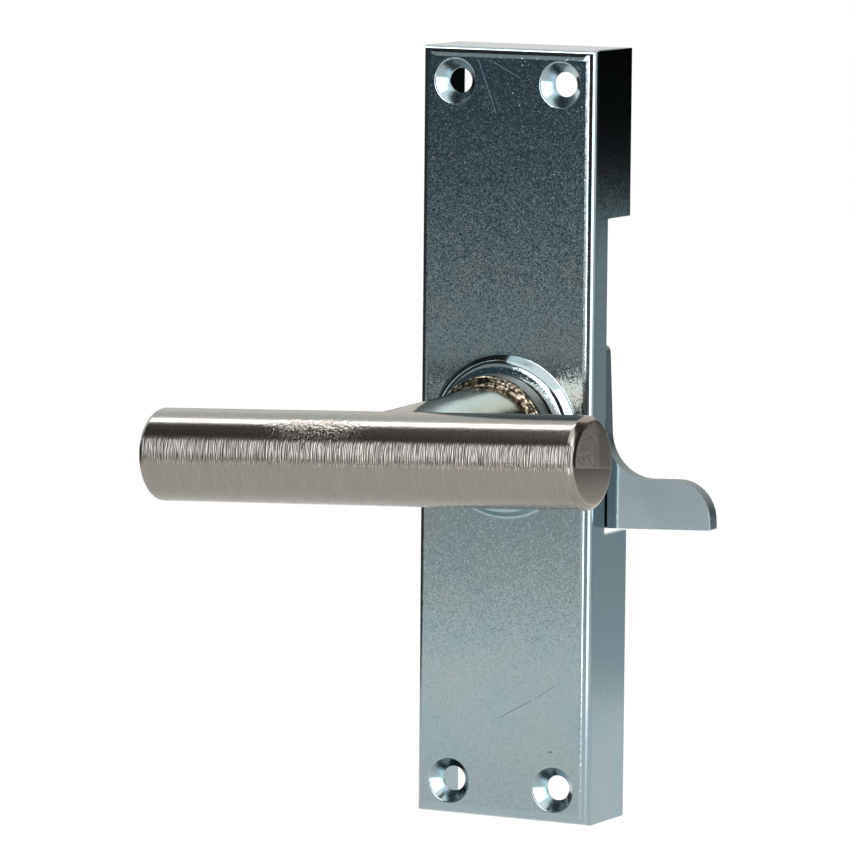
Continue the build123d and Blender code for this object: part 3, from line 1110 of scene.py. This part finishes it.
def standing(name, azimuth, span, distance, low, high, levels, tint="#ffffff", top_tint=None):
    """An upright panel; azimuth 0 is straight in front, 90 on the right; heights in millimetres."""
    angle = math.radians(azimuth)
    middle = (low + high) / 2 * MM
    centre = (distance * math.sin(angle), -distance * math.cos(angle), middle)
    width = 2 * distance * math.tan(math.radians(span) / 2)
    return panel(name, centre, (0, 0, middle), width, (high - low) * MM, levels, tint, top_tint)


def hanging(name, left, right, front, rear, glow, tint="#ffffff"):
    """A level panel overhead, its edges in metres from the spindle."""
    height = 1.2
    centre = Vector(((left + right) / 2, (front + rear) / 2, height))
    below = centre * Vector((1, 1, 0))
    return panel(name, centre, below, right - left, rear - front, even(glow), tint)


class FASTENER_OT_stage(bpy.types.Operator):
    """Set the floor, the light and the camera."""

    bl_idname = "fastener.stage"
    bl_label = "Stage"

    def execute(self, context):
        shot = context.scene.fastener_shot
        finish = context.scene.fastener_finish
        floor_z = COVER_LOW.z - shot.floor_drop

        paint, _, shader, _ = new_finish("matt white floor", 0.0, 0.8, finish.floor)
        shader.inputs["Specular IOR Level"].default_value = 0.2
        floor_width = 60
        card("floor", (0, 0, floor_z), (0, 0, 0), floor_width, floor_width, paint)

        # Each standing panel: azimuth and span in degrees, distance in metres, bottom and top in
        # millimetres, glow and tints
        base = floor_z / MM + 1
        # A glow that changes with height is (height, glow) stops
        plate_low = ((-197, 0.8), (-167, 1.3), (-143, 1.3), (-120, 0.63))
        plate_glow = plate_low + ((-47, 0.52), (-26, 0.24), (20, 0.1))
        standing("panel_front_left", -38, 46, 0.7, base, 110, plate_glow, "#fdfaf6", "#b7e8ff")
        standing("panel_front_high", -34, 32, 0.9, 150, 700, even(0.55), "#f2f6f6")
        standing("panel_front_soft", 3, 42, 1.2, 35, 1080, even(5.0), "#fbfaff")
        standing("panel_front_low", -7, 20, 0.8, base, -70, even(1.0))
        standing("panel_front", 9, 12, 1.0, base, 60, even(6.0), "#fff8f0")
        standing("panel_front_right", 38, 46, 1.1, base, 800, ((-170, 0.55), (-60, 0.04)))
        standing("panel_right", 68, 25, 1.0, base, 1600, even(4.5), "#f8faff")
        standing("panel_left_high", -115, 56, 1.0, 105, 1500, even(1.3), "#eef8fa")
        standing("panel_left", -100, 80, 1.0, base, 100, even(0.06))
        side_glow = ((-200, 0.72), (-160, 0.58), (-91, 0.48), (-45, 0.46), (-31, 0.03), (-23, 0.002))
        standing("panel_back_right", 145, 80, 1.0, base, 80, side_glow, "#e6f6fa")
        standing("panel_back", 200, 110, 1.6, 450, 3600, even(1.2), "#fff6ee")
        standing("panel_back_left", 212, 44, 1.3, 85, 420, even(0.8))
        hanging("panel_overhead", -1.0, -0.1, 0.02, 0.28, 8.0)
        hanging("panel_high_right", -0.48, 1.4, -0.95, -0.02, 1.9)
        hanging("panel_ceiling", -1.7, -0.49, -1.3, -0.02, 0.07, "#d8cabc")

        sun = bpy.data.lights.new("overhead_light", "SUN")
        sun.energy = shot.light
        sun.angle = shot.light_width
        overhead = bpy.data.objects.new("overhead_light", sun)
        overhead.rotation_euler = Vector(shot.light_aim).to_track_quat("-Z", "Y").to_euler()
        overhead.visible_glossy = False
        context.scene.collection.objects.link(overhead)

        world = bpy.data.worlds.new("studio")
        world.use_nodes = True
        background = next(node for node in world.node_tree.nodes if node.type == "BACKGROUND")
        set_inputs(world.node_tree, background, {"Color": shot.room, "Strength": shot.room_light})
        context.scene.world = world
        context.scene.view_settings.view_transform = "Standard"

        camera = bpy.data.cameras.new("camera")
        camera.lens = shot.lens
        camera.sensor_width = 36
        camera.clip_end = 200
        camera.dof.use_dof = False
        back = Vector(
            (
                math.sin(shot.yaw) * math.cos(shot.pitch),
                -math.cos(shot.yaw) * math.cos(shot.pitch),
                math.sin(shot.pitch),
            )
        )
        right = (-back).cross(Vector((0, 0, 1))).normalized()
        up = back.cross(right)
        turned_right = right * math.cos(shot.roll) + up * math.sin(shot.roll)
        turned_up = up * math.cos(shot.roll) - right * math.sin(shot.roll)
        made = bpy.data.objects.new("camera", camera)
        made.matrix_world = Matrix.Translation(Vector(shot.target) + back * shot.distance) @ Matrix(
            (turned_right, turned_up, back)
        ).transposed().to_4x4()
        context.scene.collection.objects.link(made)
        context.scene.camera = made
        return {"FINISHED"}


class FASTENER_OT_cover_plate(bpy.types.Operator):
    """Build the folded sheet cover with its boss, countersinks and notch."""

    bl_idname = "fastener.cover_plate"
    bl_label = "Cover plate"

    def execute(self, context):
        sizes, _, _, finish = settings()
        # Marks on the face: start, end and width in millimetres
        face = -sizes.depth / MM
        scratches = (
            ((-6.4, face, 73.4), (-2.5, face, 63.3), 0.15),
            ((-3.7, face, 73.5), (2.7, face, 70.3), 0.11),
            ((-3.7, face, -66.5), (-3.5, face, -66.2), 0.3),
            ((4.1, face, -72.8), (4.2, face, -72.2), 0.3),
        )
        pits = (
            ((-0.2, face, -55.8), (6.6, face, -51.9), 0.13),
            ((8.0, face, -51.2), (11.6, face, -48.7), 0.11),
            ((10.8, face, -61.8), (11.0, face, -61.8), 0.45),
        )
        material = cover_zinc(finish, sizes, scratches, pits)
        piece = new_piece("cover_sheet", cover_skin(sizes, material))
        wall = piece.modifiers.new("Sheet", "SOLIDIFY")
        wall.thickness = sizes.sheet
        wall.offset = -1
        wall.use_even_offset = True
        cut = piece.modifiers.new("Cut edges", "BEVEL")
        cut.width = sizes.cut_edge
        cut.segments = 2
        cut.limit_method = "ANGLE"
        cut.angle_limit = math.radians(50)
        make_plain(piece)
        smooth_shade(piece)
        dress(piece, "cover", "zinc_plated_sheet", "cover_plate", material)
        return {"FINISHED"}


class FASTENER_OT_lever_handle(bpy.types.Operator):
    """Build the one-piece handle: shank, hub, flared neck and bar."""

    bl_idname = "fastener.lever_handle"
    bl_label = "Lever handle"

    def execute(self, context):
        _, sizes, _, finish = settings()
        piece = new_piece("bar_handle", neck_shape(sizes))
        bar = new_piece("bar", bar_shape(sizes))
        polished = polished_nickel(finish, sizes)
        satin = plain_metal("satin nickel", finish.nickel_hub, 0.35)
        brushed = brushed_nickel(finish, sizes)
        cast = cast_end(finish, sizes)
        finishes = [polished, brushed, satin, cast]
        for material in finishes:
            piece.data.materials.append(material)
        bar.data.materials.append(brushed)
        join = piece.modifiers.new("Bar", "BOOLEAN")
        join.operation = "UNION"
        join.solver = "EXACT"
        join.object = bar
        make_plain(piece)
        bpy.data.objects.remove(bar)
        bar_reach = sizes.bar_radius + 0.02 * MM
        bar_rear = sizes.throat_y + 0.6 * MM
        end_facing = 0.95
        for face in piece.data.polygons:
            reach = math.hypot(face.center.y - sizes.bar_y, face.center.z)
            material = polished
            if face.center.y > sizes.hub_front + sizes.hub_round:
                material = satin
            elif reach < bar_reach and face.center.y < bar_rear:
                material = cast if abs(face.normal.x) > end_facing else brushed
            face.material_index = finishes.index(material)
        piece.data.transform(Matrix.Rotation(-sizes.rest_turn, 4, "Y"))
        smooth_shade(piece)
        dress(piece, "handle", "satin_nickel", "lever_handle", *finishes)
        return {"FINISHED"}


class FASTENER_OT_latch_tongue(bpy.types.Operator):
    """Build the stamped tongue that swings with the handle."""

    bl_idname = "fastener.latch_tongue"
    bl_label = "Latch tongue"

    def execute(self, context):
        _, handle, sizes, finish = settings()
        piece = new_piece("stamped_tongue", tongue_shape(sizes))
        piece.data.transform(Matrix.Rotation(-handle.rest_turn, 4, "Y"))
        smooth_shade(piece)
        dress(piece, "handle", "zinc_plated_steel", "latch_tongue", tongue_zinc(finish))
        return {"FINISHED"}


class FASTENER_OT_inner_works(bpy.types.Operator):
    """Finish the bush, spring, sleeve, washer and spindle behind the cover."""

    bl_idname = "fastener.inner_works"
    bl_label = "Inner works"

    def execute(self, context):
        _, _, _, finish = settings()
        plated, *_ = zinc_plate(finish, "zinc-plated turned steel", finish.zinc, 0.03, 0.5)
        worn = {
            "bearing_bush": moulded_nylon(finish),
            "disc_spring": plain_metal("oiled spring steel", finish.spring_steel, 0.34),
            "square_spindle": plain_metal("drawn bright steel", finish.spindle_steel, 0.36),
            "spacer_sleeve": plated,
            "rivet_washer": plated,
        }
        for node, material in worn.items():
            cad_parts[node].material_slots[0].material = material
        return {"FINISHED"}


class FASTENER_PT_panel(bpy.types.Panel):
    """Lists the fastener's pieces and sizes."""

    bl_idname = "FASTENER_PT_panel"
    bl_label = "Casement fastener"
    bl_space_type = "VIEW_3D"
    bl_region_type = "UI"
    bl_category = "Fastener"

    def draw(self, context):
        layout = self.layout
        for step in STEPS:
            layout.operator(step.bl_idname)
        for group in GROUPS:
            box = layout.box()
            box.label(text=group.__doc__)
            values = getattr(context.scene, GROUPS[group])
            for name in group.__annotations__:
                box.prop(values, name)


GROUPS = {
    CoverSizes: "fastener_cover",
    HandleSizes: "fastener_handle",
    TongueSizes: "fastener_tongue",
    Finishes: "fastener_finish",
    Shot: "fastener_shot",
}
STEPS = (
    FASTENER_OT_stage,
    FASTENER_OT_cover_plate,
    FASTENER_OT_lever_handle,
    FASTENER_OT_latch_tongue,
    FASTENER_OT_inner_works,
)


def register():
    for group, name in GROUPS.items():
        bpy.utils.register_class(group)
        setattr(bpy.types.Scene, name, PointerProperty(type=group))
    for step in STEPS:
        bpy.utils.register_class(step)
    bpy.utils.register_class(FASTENER_PT_panel)


def unregister():
    bpy.utils.unregister_class(FASTENER_PT_panel)
    for step in reversed(STEPS):
        bpy.utils.unregister_class(step)
    for group, name in GROUPS.items():
        delattr(bpy.types.Scene, name)
        bpy.utils.unregister_class(group)


def main():
    register()
    bpy.ops.fastener.stage()
    bpy.ops.fastener.cover_plate()
    bpy.ops.fastener.lever_handle()
    bpy.ops.fastener.latch_tongue()
    bpy.ops.fastener.inner_works()


if __name__ == "__main__":
    main()
